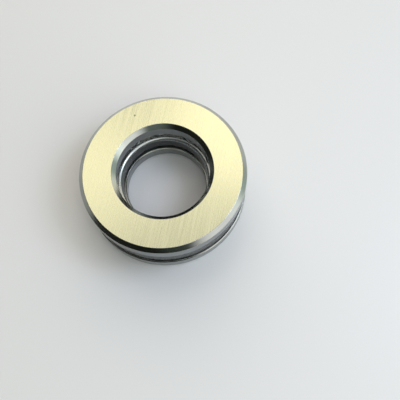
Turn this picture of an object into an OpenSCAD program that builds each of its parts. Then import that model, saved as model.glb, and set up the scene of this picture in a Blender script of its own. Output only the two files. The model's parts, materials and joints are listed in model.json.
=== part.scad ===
// Single-direction thrust ball bearing: two grooved washers with one ring of balls
// between them, held in a pressed-steel cage.
// The origin is the centre of the lower mounting face, on the bearing's axis, and +Z
// runs up the axis from the shaft washer to the housing washer. Millimetres.

/* [Envelope] */
// Bore of the shaft washer, which seats on the shaft
shaft_bore_d = 20; // [19.5:0.5:20.5]
// Outside diameter of the housing washer, which seats in the housing
housing_od = 40; // [39.5:0.5:41]
// Height over the two mounting faces
total_h = 14; // [13.8:0.1:14.4]

/* [Washers] */
// Thickness of each washer at its lands
washer_h = 4; // [3.8:0.1:4.1]
// Bore of the housing washer, which the shaft passes without touching
housing_bore_d = 22.4; // [22:0.1:22.6]
// How much smaller the shaft washer is outside, so that it turns clear of the housing
shaft_od_less = 0.2; // [0.1:0.1:0.6]
// Chamfer on the corners of the mounting faces
mount_chamfer = 1; // [0.6:0.1:1.2]
// Edge break on the corners of the grooved faces
land_chamfer = 0.2; // [0.1:0.05:0.2]

/* [Balls] */
// Number of balls
ball_count = 10; // [8:1:10]
// Diameter of a ball
ball_d = 7.9375; // [7.5:0.0625:7.9375]
// Groove radius as a share of the ball's diameter
groove_ratio = 0.54; // [0.52:0.01:0.56]
// Clearance between a ball and the bottom of each groove
ball_clearance = 0.03; // [0.01:0.01:0.05]

/* [Cage] */
// Thickness of the cage's sheet steel
sheet_t = 0.4; // [0.3:0.05:0.4]
// Height of the closed cage
cage_h = 3.8; // [3.8:0.1:4.2]
// How far the cage hangs below the mid plane, where it rests on the balls
cage_drop = 0.4; // [0.2:0.1:0.4]
// Outer radius of the bends along the shell's two rims
bend_r = 0.8; // [0.6:0.1:0.9]
// Gap between a ball and the inside of each rim
rim_gap = 0.15; // [0.15:0.05:0.25]
// How much smaller in radius a pocket's mouth is than the ball that it keeps in
pocket_undersize = 0.1; // [0.06:0.01:0.12]
// Width of each folded tab along the rim
tab_w = 2; // [1.5:0.1:2.4]
// Reach of each folded tab under the closing ring
tab_reach = 0.8; // [0.5:0.1:1]

/* [Hidden] */
$fn = 180;
overcut = 1;

shaft_bore_r = shaft_bore_d / 2;
housing_bore_r = housing_bore_d / 2;
housing_or = housing_od / 2;
shaft_or = housing_or - shaft_od_less / 2;

pitch_r = (shaft_bore_d + housing_od) / 4;
mid_z = total_h / 2;
ball_r = ball_d / 2;
groove_r = groove_ratio * ball_d;
// Distance from the mid plane to the centre of each groove's arc
groove_offset = groove_r - ball_r - ball_clearance;

cage_mid_z = mid_z - cage_drop;
cage_z0 = cage_mid_z - cage_h / 2;
cage_z1 = cage_mid_z + cage_h / 2;
// Inner and outer faces of the shell's two rims
inner_rim_out = pitch_r - ball_r - rim_gap;
inner_rim_in = inner_rim_out - sheet_t;
outer_rim_in = pitch_r + ball_r + rim_gap;
outer_rim_out = outer_rim_in + sheet_t;
pocket_r = ball_r - pocket_undersize;
ball_step = 360 / ball_count;

// "ball_01", "ball_02" and so on
function ball_name(i) = str("ball_", i < 10 ? "0" : "", i);

// Washer blank standing on its mounting face, with the large chamfers at the bottom
module washer_blank(r_in, r_out) {
    rotate_extrude()
        polygon([
            [r_in + mount_chamfer, 0],
            [r_out - mount_chamfer, 0],
            [r_out, mount_chamfer],
            [r_out, washer_h - land_chamfer],
            [r_out - land_chamfer, washer_h],
            [r_in + land_chamfer, washer_h],
            [r_in, washer_h - land_chamfer],
            [r_in, mount_chamfer]
        ]);
}

// Blank with the ball groove turned into its upper face
module grooved_washer(r_in, r_out) {
    difference() {
        washer_blank(r_in, r_out);
        translate([0, 0, mid_z + groove_offset])
            rotate_extrude()
                translate([pitch_r, 0])
                    circle(r = groove_r);
    }
}

module shaft_washer() {
    color([0.80, 0.80, 0.72])
        grooved_washer(shaft_bore_r, shaft_or);
}

// The housing washer lies face down over the balls
module housing_washer() {
    color([0.90, 0.89, 0.76])
        translate([0, 0, total_h])
            mirror([0, 0, 1])
                grooved_washer(housing_bore_r, housing_or);
}

module ring(r_in, r_out, z0, z1) {
    translate([0, 0, z0])
        difference() {
            cylinder(r = r_out, h = z1 - z0);
            translate([0, 0, -overcut])
                cylinder(r = r_in, h = z1 - z0 + 2 * overcut);
        }
}

// One hole for each ball, right through the sheet between two heights
module pockets(z0, z1) {
    for (i = [0 : ball_count - 1])
        rotate([0, 0, i * ball_step])
            translate([pitch_r, 0, z0 - overcut])
                cylinder(r = pocket_r, h = z1 - z0 + 2 * overcut, $fn = 64);
}

// Rectangle in the section plane with its two upper corners rounded
module top_rounded(r_in, r_out, z0, z1, corner_r) {
    translate([r_in, z0])
        square([r_out - r_in, z1 - z0 - corner_r]);
    translate([r_in + corner_r, z0])
        square([r_out - r_in - 2 * corner_r, z1 - z0]);
    for (r = [r_in + corner_r, r_out - corner_r])
        translate([r, z1 - corner_r])
            circle(r = corner_r, $fn = 48);
}

// Half section of the shell: a channel with bent upper corners, and a lip folded in
// under each rim
module channel_section() {
    difference() {
        union() {
            top_rounded(inner_rim_in, outer_rim_out, cage_mid_z, cage_z1, bend_r);
            translate([0, cage_z0 + cage_mid_z])
                mirror([0, 1])
                    top_rounded(inner_rim_in, outer_rim_out, cage_z0, cage_mid_z, sheet_t);
        }
        top_rounded(inner_rim_out, outer_rim_in, cage_z0 + sheet_t,
            cage_z1 - sheet_t, bend_r - sheet_t);
        translate([inner_rim_out + tab_reach, cage_z0 - overcut])
            square([outer_rim_in - inner_rim_out - 2 * tab_reach, cage_mid_z - cage_z0]);
    }
}

// Everything at the lips' height but the tabs, which lie between each two balls
module lip_notches() {
    difference() {
        ring(inner_rim_in - overcut, outer_rim_out + overcut,
            cage_z0 - overcut, cage_z0 + sheet_t);
        for (i = [0 : ball_count - 1])
            rotate([0, 0, (i + 0.5) * ball_step])
                translate([0, -tab_w / 2, cage_z0 - 2 * overcut])
                    cube([housing_od, tab_w, sheet_t + 4 * overcut]);
    }
}

module cage_shell() {
    color([0.42, 0.43, 0.42])
        difference() {
            rotate_extrude()
                channel_section();
            pockets(cage_z1 - sheet_t, cage_z1);
            lip_notches();
        }
}

// Flat pocketed ring that closes the channel from below
module cage_closing_ring() {
    z0 = cage_z0 + sheet_t;
    color([0.50, 0.50, 0.48])
        difference() {
            ring(inner_rim_out, outer_rim_in, z0, z0 + sheet_t);
            pockets(z0, z0 + sheet_t);
        }
}

module ball(i) {
    color([0.86, 0.87, 0.88])
        rotate([0, 0, (i - 1) * ball_step])
            translate([pitch_r, 0, mid_z])
                sphere(r = ball_r, $fn = 48);
}

shaft_washer();
housing_washer();
cage_shell();
cage_closing_ring();
for (i = [1 : ball_count])
    ball(i);
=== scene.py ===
"""The looks of a single-direction thrust ball bearing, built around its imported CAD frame."""

import json
import math

import bmesh
import bpy
from mathutils import Matrix, Vector


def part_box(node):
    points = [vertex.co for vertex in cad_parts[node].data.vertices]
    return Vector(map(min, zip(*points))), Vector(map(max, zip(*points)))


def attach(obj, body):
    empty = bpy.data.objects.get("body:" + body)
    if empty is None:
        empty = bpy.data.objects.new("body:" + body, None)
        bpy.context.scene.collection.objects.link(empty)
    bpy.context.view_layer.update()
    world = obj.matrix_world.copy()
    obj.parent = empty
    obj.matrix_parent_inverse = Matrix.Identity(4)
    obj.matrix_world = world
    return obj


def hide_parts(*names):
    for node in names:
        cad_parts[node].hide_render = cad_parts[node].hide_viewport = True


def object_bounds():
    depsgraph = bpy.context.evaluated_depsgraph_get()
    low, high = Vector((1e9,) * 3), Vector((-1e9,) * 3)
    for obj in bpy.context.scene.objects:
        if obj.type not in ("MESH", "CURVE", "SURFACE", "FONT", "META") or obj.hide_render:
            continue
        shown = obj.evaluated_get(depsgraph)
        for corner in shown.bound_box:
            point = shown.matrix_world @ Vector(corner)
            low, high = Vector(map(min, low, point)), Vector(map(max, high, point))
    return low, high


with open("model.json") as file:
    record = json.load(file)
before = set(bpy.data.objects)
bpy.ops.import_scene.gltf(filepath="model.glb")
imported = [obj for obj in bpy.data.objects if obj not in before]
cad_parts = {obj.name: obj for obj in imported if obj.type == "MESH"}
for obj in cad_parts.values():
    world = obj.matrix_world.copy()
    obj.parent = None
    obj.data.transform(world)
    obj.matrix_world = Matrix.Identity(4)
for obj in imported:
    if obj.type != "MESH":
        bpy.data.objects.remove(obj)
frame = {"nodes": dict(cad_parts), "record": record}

MM = 0.001
CAD_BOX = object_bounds()

# --- Sizes -----------------------------------------------------------------------------

MOUNTS = {m["name"]: m for m in frame["record"]["mounts"]}
MOUNT_CHAMFER = 1.0 * MM
LAND_CHAMFER = 0.2 * MM
EDGE_RADIUS = 0.12 * MM
LAND_EDGE_RADIUS = 0.07 * MM
GROOVE_SHARE = 0.54
BALL_CLEARANCE = 0.03 * MM
TURN_STEPS = 288
EDGE_STEPS = 5
GROOVE_STEPS = 28
BALL_SUBDIVISIONS = 5

BALLS = sorted(n for n in frame["nodes"] if n.startswith("ball_"))
FIRST_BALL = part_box(BALLS[0])
BALL_R = (FIRST_BALL[1].z - FIRST_BALL[0].z) / 2
MID_Z = (FIRST_BALL[1].z + FIRST_BALL[0].z) / 2
PITCH_R = (FIRST_BALL[1].x + FIRST_BALL[0].x) / 2
GROOVE_R = GROOVE_SHARE * 2 * BALL_R
GROOVE_OFFSET = GROOVE_R - BALL_R - BALL_CLEARANCE
HOUSING_BORE_R = MOUNTS["shaft_passage"]["dims"]["r_mm"] * MM
SHAFT_BORE_R = MOUNTS["shaft_bore"]["dims"]["r_mm"] * MM
BODIES = frame["record"]["behaviour"]["bodies"]


# --- Meshes ----------------------------------------------------------------------------


def corner(point, way_in, way_out, radius):
    """Points and outward normals of a rounded convex corner in the (r, z) plane."""
    turn = way_in.angle_signed(way_out) * -1
    reach = radius * math.tan(turn / 2)
    normal_in = Vector((way_in.y, -way_in.x))
    centre = point - way_in * reach - normal_in * radius
    arc = []
    for k in range(EDGE_STEPS + 1):
        normal = Matrix.Rotation(turn * k / EDGE_STEPS, 2) @ normal_in
        arc.append((centre + normal * radius, normal))
    return arc


def groove_arc(top_z, centre_z):
    """Points and outward normals of the ball groove, from its outer lip to its inner one."""
    centre = Vector((PITCH_R, centre_z))
    lip = math.asin((top_z - centre_z) / GROOVE_R)
    arc = []
    for k in range(GROOVE_STEPS + 1):
        angle = lip + (-math.pi - 2 * lip) * k / GROOVE_STEPS
        out = Vector((math.cos(angle), math.sin(angle)))
        arc.append((centre + out * GROOVE_R, -out))
    return arc


def washer_outline(r_in, r_out, thickness, groove_centre_z):
    """Closed section of a washer that stands on its mounting face.

    Each entry is (point, outward normal, zone of the strip that follows it)."""
    groove = groove_arc(thickness, groove_centre_z)
    lip_out, lip_in = groove[0][0], groove[-1][0]
    places = [
        (Vector((r_in + MOUNT_CHAMFER, 0)), EDGE_RADIUS, "face"),
        (Vector((r_out - MOUNT_CHAMFER, 0)), EDGE_RADIUS, "chamfer"),
        (Vector((r_out, MOUNT_CHAMFER)), EDGE_RADIUS, "wall"),
        (Vector((r_out, thickness - LAND_CHAMFER)), LAND_EDGE_RADIUS, "chamfer"),
        (Vector((r_out - LAND_CHAMFER, thickness)), LAND_EDGE_RADIUS, "land"),
        (lip_out, LAND_EDGE_RADIUS, "groove"),
        (lip_in, LAND_EDGE_RADIUS, "land"),
        (Vector((r_in + LAND_CHAMFER, thickness)), LAND_EDGE_RADIUS, "chamfer"),
        (Vector((r_in, thickness - LAND_CHAMFER)), LAND_EDGE_RADIUS, "bore"),
        (Vector((r_in, MOUNT_CHAMFER)), EDGE_RADIUS, "chamfer"),
    ]
    ends = places[1:] + places[:1]
    ways = [(end[0] - start[0]).normalized() for start, end in zip(places, ends)]
    outline = []
    for i, (point, radius, zone) in enumerate(places):
        way_in, way_out = ways[i - 1], ways[i]
        if point is lip_out:
            normal = groove[0][1]
            way_out = Vector((-normal.y, normal.x))
        if point is lip_in:
            normal = groove[-1][1]
            way_in = Vector((-normal.y, normal.x))
        arc = corner(point, way_in, way_out, radius)
        outline += [(p, n, "chamfer") for p, n in arc[:-1]]
        outline.append((*arc[-1], zone))
        if point is lip_out:
            outline += [(p, n, "groove") for p, n in groove[1:-1]]
    return outline


def turned(name, outline, materials, place):
    """A ring made by turning the outline round Z; place maps a section point's (r, z)."""
    zones = list(materials)
    flip = place((0, 1))[1] < place((0, 0))[1]
    count = len(outline)
    verts, normals, faces, marks = [], [], [], []
    for point, normal, _ in outline:
        r, z = place(point)
        nz = -normal.y if flip else normal.y
        for k in range(TURN_STEPS):
            a = 2 * math.pi * k / TURN_STEPS
            c, s = math.cos(a), math.sin(a)
            verts.append((r * c, r * s, z))
            normals.append((normal.x * c, normal.x * s, nz))
    for j in range(count):
        nxt = (j + 1) % count
        for k in range(TURN_STEPS):
            turn = (k + 1) % TURN_STEPS
            quad = [
                j * TURN_STEPS + k,
                j * TURN_STEPS + turn,
                nxt * TURN_STEPS + turn,
                nxt * TURN_STEPS + k,
            ]
            faces.append(quad[::-1] if flip else quad)
            marks.append(zones.index(outline[j][2]))
    mesh = bpy.data.meshes.new(name)
    mesh.from_pydata(verts, [], faces)
    mesh.polygons.foreach_set("material_index", marks)
    mesh.polygons.foreach_set("use_smooth", [True] * len(faces))
    for zone in zones:
        mesh.materials.append(materials[zone])
    mesh.normals_split_custom_set_from_vertices(normals)
    piece = bpy.data.objects.new(name, mesh)
    bpy.context.scene.collection.objects.link(piece)
    return piece


# --- Materials -------------------------------------------------------------------------

# Range of roughness of a ground mounting face, and heights of the marks in the surfaces
GROUND_ROUGH = (0.2, 0.34)
GROUND_RELIEF = 0.015 * MM
TURNED_RELIEF = 0.01 * MM
SHEET_RELIEF = 0.02 * MM
BALL_RELIEF = 0.004 * MM


def add(tree, kind, inputs=None, **settings):
    """A shader node; an input that is a socket is linked, and any other is its value."""
    node = tree.nodes.new("ShaderNode" + kind)
    for key, value in settings.items():
        setattr(node, key, value)
    for key, value in (inputs or {}).items():
        if isinstance(value, bpy.types.NodeSocket):
            tree.links.new(value, node.inputs[key])
        else:
            node.inputs[key].default_value = value
    return node


def fresh_material(name):
    material = bpy.data.materials.new(name)
    material.use_nodes = True
    tree = material.node_tree
    tree.nodes.clear()
    return material, tree


def close(tree, shader):
    add(tree, "OutputMaterial", {"Surface": shader.outputs[0]})


def in_mm(tree):
    """The surface point in millimetres, fixed to the piece."""
    place = add(tree, "TexCoord").outputs["Object"]
    scaled = add(tree, "VectorMath", {0: place, "Scale": 1 / MM}, operation="SCALE")
    return scaled.outputs[0]


def noise(tree, vector, scale, detail=3.0, rough=0.55):
    inputs = {"Vector": vector, "Scale": scale, "Detail": detail, "Roughness": rough}
    return add(tree, "TexNoise", inputs).outputs["Fac"]


def stretch(tree, vector, angle, across, along):
    """Coordinates that run fast across a grinding direction and slowly along it."""
    inputs = {"Vector": vector, "Rotation": (0, 0, angle), "Scale": (1 / across, 1 / along, 1)}
    return add(tree, "Mapping", inputs, vector_type="TEXTURE").outputs[0]


def round_the_axis(tree, vector, around, across):
    """Coordinates that run slowly round the axis and fast along the turned section."""
    flat = add(tree, "VectorMath", {0: vector, 1: (1, 1, 0)}, operation="MULTIPLY")
    way = add(tree, "VectorMath", {0: flat.outputs[0]}, operation="NORMALIZE")
    slow = add(tree, "VectorMath", {0: way.outputs[0], "Scale": around}, operation="SCALE")
    radius = add(tree, "VectorMath", {0: flat.outputs[0]}, operation="LENGTH")
    height = add(tree, "SeparateXYZ", {0: vector}).outputs["Z"]
    inputs = {0: radius.outputs["Value"], 1: 0.6, 2: height}
    section = add(tree, "Math", inputs, operation="MULTIPLY_ADD")
    fast = add(tree, "Math", {0: section.outputs[0], 1: across}, operation="MULTIPLY")
    lift = add(tree, "CombineXYZ", {"Z": fast.outputs[0]})
    both = add(tree, "VectorMath", {0: slow.outputs[0], 1: lift.outputs[0]}, operation="ADD")
    return both.outputs[0]


def spread(tree, value, low, high, start=0.3, end=0.7):
    """The value, usually a noise, moved from start..end to low..high."""
    inputs = {"Value": value, "From Min": start, "From Max": end, "To Min": low, "To Max": high}
    return add(tree, "MapRange", inputs).outputs[0]


def tint(tree, factor, colour_a, colour_b):
    """A mix of two colours; a Mix node's colour sockets are its inputs 6 and 7."""
    pair = [c if isinstance(c, bpy.types.NodeSocket) else (*c, 1) for c in (colour_a, colour_b)]
    inputs = {0: factor, 6: pair[0], 7: pair[1]}
    return add(tree, "Mix", inputs, data_type="RGBA").outputs[2]


def total(tree, *weighted):
    """The sum of (value, weight) pairs."""
    so_far = 0.0
    for value, weight in weighted:
        node = add(tree, "Math", {0: value, 1: weight, 2: so_far}, operation="MULTIPLY_ADD")
        so_far = node.outputs[0]
    return so_far


def nicked(tree, point, colour, place, radius):
    """The colour, darkened in one small round spot of the surface."""
    away = add(tree, "VectorMath", {0: point, 1: place}, operation="DISTANCE")
    shade = spread(tree, away.outputs["Value"], NICK_SHADE, 1.0, radius * NICK_CORE, radius)
    spot = add(tree, "VectorMath", {0: colour, "Scale": shade}, operation="SCALE")
    return spot.outputs[0]


def ground_steel(name, light, dark, angle):
    """A surface-ground face: long nearly parallel wheel marks in a few widths."""
    material, tree = fresh_material(name)
    point = in_mm(tree)
    broad = noise(tree, stretch(tree, point, angle, 1.3, 0.02), 1.0, 2)
    middle = noise(tree, stretch(tree, point, angle + 0.04, 3.6, 0.04), 1.0, 3)
    fine = noise(tree, stretch(tree, point, angle - 0.03, 13.0, 0.12), 1.0, 3)
    crossing = noise(tree, stretch(tree, point, angle + 0.12, 6.0, 0.05), 1.0, 2)
    film = noise(tree, point, 0.09, 3)
    lines = total(tree, (broad, 0.2), (middle, 0.35), (fine, 0.25), (crossing, 0.2))
    streaks = spread(tree, lines, 0.0, 1.0, 0.4, 0.62)
    hue = total(tree, (streaks, 0.7), (film, 0.3))
    bump = add(tree, "Bump", {"Strength": 0.6, "Distance": GROUND_RELIEF, "Height": lines})
    shader = add(tree, "BsdfPrincipled", {
        "Base Color": nicked(tree, point, tint(tree, hue, dark, light), NICK, NICK_R),
        "Metallic": 1.0,
        "Roughness": total(tree, (spread(tree, lines, *GROUND_ROUGH, 0.42, 0.6), 0.8),
                           (spread(tree, film, *GROUND_ROUGH), 0.2)),
        "Normal": bump.outputs[0],
    })
    close(tree, shader)
    return material


def turned_steel(name, light, dark, rough, across=9.0):
    """A wall, chamfer or groove ground while the washer turned: marks run round it."""
    material, tree = fresh_material(name)
    point = in_mm(tree)
    rings = noise(tree, round_the_axis(tree, point, 1.2, across), 1.0, 3)
    fine = noise(tree, round_the_axis(tree, point, 4.0, across * 3.5), 1.0, 2)
    film = noise(tree, point, 0.16, 3)
    lines = total(tree, (rings, 0.6), (fine, 0.4))
    hue = total(tree, (lines, 0.5), (film, 0.5))
    bump = add(tree, "Bump", {"Strength": 0.5, "Distance": TURNED_RELIEF, "Height": lines})
    shader = add(tree, "BsdfPrincipled", {
        "Base Color": tint(tree, spread(tree, hue, 0.0, 1.0), dark, light),
        "Metallic": 1.0,
        "Roughness": total(tree, (spread(tree, lines, *rough), 0.5),
                           (spread(tree, film, *rough), 0.5)),
        "Normal": bump.outputs[0],
    })
    close(tree, shader)
    return material


def pressed_steel(name, light, dark, highlight, highlight_from, highlight_to):
    """Cold-rolled sheet, drawn in a die: soft grain, die scuffs and an oily bloom.

    The sheet's very dark colour is painted shade. Between the two heights it turns into a bright
    colour, a painted highlight on the top bend."""
    material, tree = fresh_material(name)
    point = in_mm(tree)
    grain = noise(tree, point, 6.0, 4)
    scuffs = noise(tree, round_the_axis(tree, point, 2.0, 4.0), 1.0, 3)
    bloom = noise(tree, point, 0.35, 4)
    relief = total(tree, (grain, 0.6), (scuffs, 0.4))
    bump = add(tree, "Bump", {"Strength": 0.35, "Distance": SHEET_RELIEF, "Height": relief})
    hue = total(tree, (bloom, 0.6), (scuffs, 0.4))
    sheet = tint(tree, spread(tree, hue, 0.0, 1.0), dark, light)
    height = add(tree, "SeparateXYZ", {0: point}).outputs["Z"]
    # Painted highlight: near the top of the cage the colour turns bright
    highlit = spread(tree, height, 0.0, 1.0, highlight_from, highlight_to)
    shader = add(tree, "BsdfPrincipled", {
        "Base Color": tint(tree, highlit, sheet, highlight),
        "Metallic": 1.0,
        "Roughness": spread(tree, bloom, 0.2, 0.34),
        "Normal": bump.outputs[0],
    })
    close(tree, shader)
    return material


def polished_steel(name, light, dark):
    """A lapped ball: a mirror with hairline marks and a thin smear of oil."""
    material, tree = fresh_material(name)
    point = in_mm(tree)
    hairs = noise(tree, stretch(tree, point, 0.7, 14.0, 0.6), 1.0, 3)
    smear = noise(tree, point, 0.45, 3)
    bump = add(tree, "Bump", {"Strength": 0.15, "Distance": BALL_RELIEF, "Height": hairs})
    shader = add(tree, "BsdfPrincipled", {
        "Base Color": tint(tree, spread(tree, smear, 0.0, 1.0), dark, light),
        "Metallic": 1.0,
        "Roughness": spread(tree, smear, 0.05, 0.14),
        "Normal": bump.outputs[0],
    })
    close(tree, shader)
    return material


# --- The bearing -----------------------------------------------------------------------

# The straw tint of the ground faces is partly a film of oil and partly a painted reflection of the
# warm light above them
STRAW_LIGHT = (0.80, 0.79, 0.53)
STRAW_DARK = (0.62, 0.62, 0.40)
STEEL_LIGHT = (0.50, 0.52, 0.49)
STEEL_DARK = (0.34, 0.36, 0.34)
# Painted shade: the outside walls and bores get a darker copy of the washer steel than the chamfers
# and lands
SHADED_WALL_LIGHT = (0.32, 0.33, 0.32)
SHADED_WALL_DARK = (0.19, 0.20, 0.20)
# Painted shade: the cage sheet is nearly black, for the shade in the gap between the washers where
# it stands
SHADED_SHEET_LIGHT = (0.085, 0.09, 0.09)
SHADED_SHEET_DARK = (0.03, 0.032, 0.034)
# Painted highlight: a bright colour on the cage's top bend, for the light that the bend catches
BEND_HIGHLIGHT = (0.44, 0.46, 0.45)
# Depths under the top of the cage, in millimetres: sheet colour below the first, and the painted
# highlight colour above the second
BEND_HIGHLIGHT_DEPTHS = (0.8, 0.45)
BALL_LIGHT = (0.82, 0.83, 0.84)
BALL_DARK = (0.66, 0.67, 0.68)
# Turn of the grinding marks about the axis, in radians, on each mounting face
UPPER_GRIND_ANGLE = -0.64
LOWER_GRIND_ANGLE = 0.6
# A small dark nick in the upper face, in millimetres. Its colour is the face's times the
# shade, and its core is the share of the radius that is fully dark.
NICK = (-0.9, 16.1, CAD_BOX[1].z / MM)
NICK_R = 0.3
NICK_SHADE = 0.2
NICK_CORE = 0.4


def washer_materials(prefix, grind_angle):
    return {
        "face": ground_steel(prefix + "_ground_face", STRAW_LIGHT, STRAW_DARK, grind_angle),
        "chamfer": turned_steel(prefix + "_chamfer", STEEL_LIGHT, STEEL_DARK, (0.08, 0.14)),
        "wall": turned_steel(prefix + "_outside", SHADED_WALL_LIGHT, SHADED_WALL_DARK, (0.14, 0.26)),
        "bore": turned_steel(prefix + "_bore", SHADED_WALL_LIGHT, SHADED_WALL_DARK, (0.12, 0.2)),
        "land": turned_steel(prefix + "_land", STEEL_LIGHT, STEEL_DARK, (0.22, 0.34), across=6.0),
        "groove": turned_steel(prefix + "_groove", BALL_LIGHT, BALL_DARK, (0.06, 0.12), across=14.0),
    }


def finish_piece(piece, node):
    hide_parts(node)
    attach(piece, next(body for body, nodes in BODIES.items() if node in nodes))


def make_washer(node, bore_r, grind_angle, face_up):
    """One washer, mounting face up over the balls or down under them."""
    low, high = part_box(node)
    outline = washer_outline(bore_r, high.x, high.z - low.z, MID_Z + GROOVE_OFFSET)
    materials = washer_materials(node.removesuffix("_washer"), grind_angle)

    def place(point):
        r, z = point
        return r, high.z - z if face_up else low.z + z

    piece = turned(node + "_turned", outline, materials, place)
    finish_piece(piece, node)


def make_washers():
    make_washer("shaft_washer", SHAFT_BORE_R, LOWER_GRIND_ANGLE, face_up=False)
    make_washer("housing_washer", HOUSING_BORE_R, UPPER_GRIND_ANGLE, face_up=True)


def make_balls():
    steel = polished_steel("lapped_ball", BALL_LIGHT, BALL_DARK)
    for node in BALLS:
        low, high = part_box(node)
        centre = (low + high) / 2
        form = bmesh.new()
        bmesh.ops.create_icosphere(form, subdivisions=BALL_SUBDIVISIONS, radius=BALL_R)
        mesh = bpy.data.meshes.new(node + "_lapped")
        form.to_mesh(mesh)
        form.free()
        normals = [v.co.normalized() for v in mesh.vertices]
        mesh.transform(Matrix.Translation(centre))
        mesh.polygons.foreach_set("use_smooth", [True] * len(mesh.polygons))
        mesh.normals_split_custom_set_from_vertices(normals)
        mesh.materials.append(steel)
        piece = bpy.data.objects.new(node + "_lapped", mesh)
        bpy.context.scene.collection.objects.link(piece)
        finish_piece(piece, node)


def make_cage():
    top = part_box("cage_shell")[1].z / MM
    sheet = pressed_steel("pressed_sheet", SHADED_SHEET_LIGHT, SHADED_SHEET_DARK, BEND_HIGHLIGHT,
                          top - BEND_HIGHLIGHT_DEPTHS[0], top - BEND_HIGHLIGHT_DEPTHS[1])
    for node in ("cage_shell", "cage_closing_ring"):
        piece = frame["nodes"][node]
        piece.data.materials.clear()
        piece.data.materials.append(sheet)


# --- Stage, light and camera -----------------------------------------------------------

FLOOR_R = 3.0
FLOOR_STEPS = 96
FLOOR_DARK = (0.76, 0.77, 0.77)
FLOOR_LIGHT = (0.80, 0.81, 0.81)
# Lights and camera stand turned by this about the axis, which sets where balls show
VIEW_TURN = -8.0


def make_floor():
    material, tree = fresh_material("pale_floor")
    point = add(tree, "TexCoord").outputs["Object"]
    paint = add(tree, "BsdfPrincipled", {
        "Base Color": tint(tree, noise(tree, point, 3.0), FLOOR_DARK, FLOOR_LIGHT),
        "Roughness": spread(tree, noise(tree, point, 40.0), 0.38, 0.44),
        "IOR": 1.5,
    })
    gone = add(tree, "BsdfTransparent")
    under = add(tree, "NewGeometry").outputs["Backfacing"]
    shader = add(tree, "MixShader", {0: under, 1: paint.outputs[0], 2: gone.outputs[0]})
    close(tree, shader)
    form = bmesh.new()
    bmesh.ops.create_circle(form, cap_ends=True, segments=FLOOR_STEPS, radius=FLOOR_R)
    mesh = bpy.data.meshes.new("floor")
    form.to_mesh(mesh)
    form.free()
    mesh.materials.append(material)
    floor = bpy.data.objects.new("floor", mesh)
    bpy.context.scene.collection.objects.link(floor)


def heading(azimuth, elevation):
    """Unit vector at an azimuth, in degrees from the view's own +X, and an elevation."""
    a, e = math.radians(azimuth + VIEW_TURN), math.radians(elevation)
    return Vector((math.cos(a) * math.cos(e), math.sin(a) * math.cos(e), math.sin(e)))


# Colours of the light, the dark between the room's bright patches, and the pale room that
# only the camera sees
COOL = (0.70, 0.77, 1.0)
GREENISH = (0.85, 1.0, 0.9)
NEUTRAL = (1.0, 0.98, 0.98)
WARM = (1.0, 0.9, 0.74)
ROOM_DARK = (0.02, 0.021, 0.017)
PALE_ROOM = (0.84, 0.86, 0.87)

# Angles from a patch's centre at which it starts to fade, and at which it has gone
PATCH_CORE = 4
PATCH_RIM = 40
# Soft bright patches of the room: azimuth, elevation, colour, strength
PATCHES = [
    (-45, 16, NEUTRAL, 1.4),
    (0, 16, GREENISH, 0.7),
    (45, 16, WARM, 1.3),
    (90, 16, WARM, 1.6),
    (-90, 48, GREENISH, 0.25),
    (-30, 48, GREENISH, 0.45),
    (90, 48, NEUTRAL, 0.6),
    (0, 90, NEUTRAL, 0.45),
]
# Light through the floor from below, which only shows on what is seen from underneath
UNDER_CORE = 20
UNDER_RIM = 100
UNDER_STRENGTH = 0.55

LAMP_DISTANCE = 0.32
LAMP_SIDE = 0.13
# Square lamps: name, azimuth, elevation, colour, power
LAMPS = [
    ("window", -12, 52, COOL, 0.32),
    ("back", 60, 60, WARM, 0.055),
    ("left_back", 122, 60, WARM, 0.04),
    ("front", -80, 60, NEUTRAL, 0.08),
]


def make_lamp(name, azimuth, elevation, colour, power):
    light = bpy.data.lights.new(name, "AREA")
    light.size = LAMP_SIDE
    light.energy = power
    light.color = colour
    lamp = bpy.data.objects.new(name, light)
    way = heading(azimuth, elevation)
    lamp.location = way * LAMP_DISTANCE
    lamp.rotation_mode = "QUATERNION"
    lamp.rotation_quaternion = way.to_track_quat("Z", "Y")
    lamp.visible_camera = False
    bpy.context.scene.collection.objects.link(lamp)


def patch(tree, way, centre, core, rim, colour, strength):
    """A soft round patch of light, full within one angle of its centre and gone by another."""
    facing = add(tree, "VectorMath", {0: way, 1: centre}, operation="DOT_PRODUCT")
    fade = add(tree, "MapRange", {
        "Value": facing.outputs["Value"],
        "From Min": math.cos(math.radians(rim)),
        "From Max": math.cos(math.radians(core)),
        "To Max": strength,
    }, interpolation_type="SMOOTHSTEP")
    return add(tree, "Background", {"Color": (*colour, 1), "Strength": fade.outputs[0]})


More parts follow.
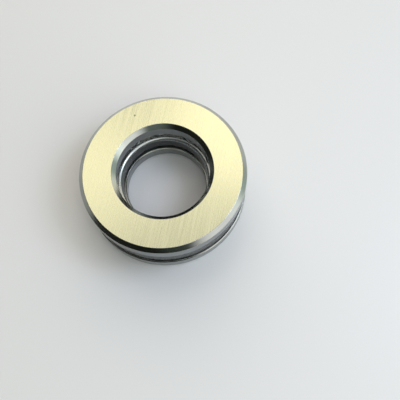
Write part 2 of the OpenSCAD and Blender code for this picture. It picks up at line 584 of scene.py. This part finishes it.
def make_world():
    """Soft patches of light over dark walls, and a pale room where it is seen direct."""
    world = bpy.data.worlds.new("studio")
    bpy.context.scene.world = world
    world.use_nodes = True
    tree = world.node_tree
    tree.nodes.clear()
    way = add(tree, "TexCoord").outputs["Generated"]
    room = add(tree, "Background", {"Color": (*ROOM_DARK, 1), "Strength": 1.0})
    parts = [patch(tree, way, heading(azimuth, elevation), PATCH_CORE, PATCH_RIM, colour, strength)
             for azimuth, elevation, colour, strength in PATCHES]
    parts.append(patch(tree, way, (0, 0, -1), UNDER_CORE, UNDER_RIM, NEUTRAL, UNDER_STRENGTH))
    for part in parts:
        room = add(tree, "AddShader", {0: room.outputs[0], 1: part.outputs[0]})
    pale = add(tree, "Background", {"Color": (*PALE_ROOM, 1), "Strength": 1.0})
    direct = add(tree, "LightPath").outputs["Is Camera Ray"]
    shown = add(tree, "MixShader", {0: direct, 1: room.outputs[0], 2: pale.outputs[0]})
    add(tree, "OutputWorld", {"Surface": shown.outputs[0]})


def make_lights():
    make_world()
    for lamp in LAMPS:
        make_lamp(*lamp)


# The camera looks at a point level with the upper face, over the bore's edge at the front
# right
AIM = heading(-55.3, 0) * 11.69 * MM + Vector((0, 0, CAD_BOX[1].z))
CAMERA_AZIMUTH = -98.4
CAMERA_ELEVATION = 70.6
CAMERA_DISTANCE = 137.6 * MM
CAMERA_ROLL = -6.7
CAMERA_LENS = 53.6
CAMERA_NEAR = 5 * MM


def make_camera():
    data = bpy.data.cameras.new("camera")
    data.lens = CAMERA_LENS
    data.clip_start = CAMERA_NEAR
    camera = bpy.data.objects.new("camera", data)
    way = heading(CAMERA_AZIMUTH, CAMERA_ELEVATION)
    camera.location = AIM + way * CAMERA_DISTANCE
    level = (-way).to_track_quat("-Z", "Y")
    roll = Matrix.Rotation(math.radians(CAMERA_ROLL), 3, "Z").to_quaternion()
    camera.rotation_mode = "QUATERNION"
    camera.rotation_quaternion = level @ roll
    bpy.context.scene.collection.objects.link(camera)
    bpy.context.scene.camera = camera
    bpy.context.scene.view_settings.view_transform = "Standard"


make_camera()
make_floor()
make_lights()
make_washers()
make_cage()
make_balls()
